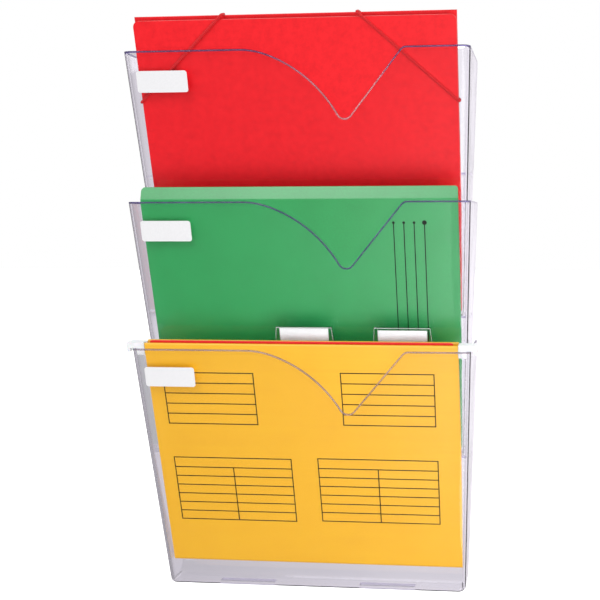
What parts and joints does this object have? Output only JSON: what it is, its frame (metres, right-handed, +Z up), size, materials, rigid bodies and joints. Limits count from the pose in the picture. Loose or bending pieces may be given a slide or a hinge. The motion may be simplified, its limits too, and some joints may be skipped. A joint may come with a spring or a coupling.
{
  "type": "wall file",
  "caption": "Wall file of clear plastic pockets in a cascade, with finger notches and blank labels, holding an elastic folder, a flat file and a suspension file that lift out.",
  "frame": {"origin": "centre of the lower pocket's row of wall screw holes, in the wall plane", "axes": "+Z up, +X to the right seen from the front, +Y into the wall; the fronts face -Y"},
  "size_m": [0.348, 0.1076, 0.5825],
  "materials": {
    "clear_plastic": "clear crystal plastic",
    "label_paper": "white paper",
    "red_board": "glazed pressboard",
    "red_elastic": "woven cover",
    "green_board": "smooth card",
    "yellow_board": "smooth card",
    "white_paper": "office paper",
    "rod_steel": "plated",
    "white_plastic": "moulded",
    "tab_plastic": "clear film"
  },
  "bodies": {
    "lower": {"lower_pocket": "clear_plastic", "lower_label": "label_paper"},
    "middle": {"middle_pocket": "clear_plastic", "middle_label": "label_paper"},
    "upper": {"upper_pocket": "clear_plastic", "upper_label": "label_paper"},
    "red_folder": {"red_folder_card": "red_board", "red_folder_flap": "red_board", "red_folder_papers": "white_paper", "red_elastic_left": "red_elastic", "red_elastic_right": "red_elastic"},
    "green_folder": {"green_folder_card": "green_board", "green_folder_papers": "white_paper", "green_folder_fastener": "rod_steel"},
    "suspension_file": {"suspension_sleeve": "yellow_board", "suspension_front_rod": "rod_steel", "suspension_rear_rod": "rod_steel", "index_holder_left": "tab_plastic", "index_insert_left": "white_paper", "index_holder_right": "tab_plastic", "index_insert_right": "white_paper", "hook_front_left": "white_plastic", "hook_front_right": "white_plastic", "hook_rear_left": "white_plastic", "hook_rear_right": "white_plastic"},
    "thin_folder": {"thin_red_folder": "red_board", "suspension_papers": "white_paper"}
  },
  "joints": [
    {"name": "middle_pocket_lift", "type": "slide", "parent": "lower", "child": "middle", "axis": [0, 0, 1], "range_m": [0, 0.13]},
    {"name": "upper_pocket_lift", "type": "slide", "parent": "middle", "child": "upper", "axis": [0, 0, 1], "range_m": [0, 0.13]},
    {"name": "red_folder_lift", "type": "slide", "parent": "upper", "child": "red_folder", "axis": [0, -0.2588, 0.9659], "range_m": [0, 0.28]},
    {"name": "green_folder_lift", "type": "slide", "parent": "middle", "child": "green_folder", "axis": [0, -0.2588, 0.9659], "range_m": [0, 0.28]},
    {"name": "suspension_file_lift", "type": "slide", "parent": "lower", "child": "suspension_file", "axis": [0, -0.2588, 0.9659], "range_m": [0, 0.26]},
    {"name": "thin_folder_lift", "type": "slide", "parent": "suspension_file", "child": "thin_folder", "axis": [0, -0.2588, 0.9659], "range_m": [0, 0.25]}
  ]
}
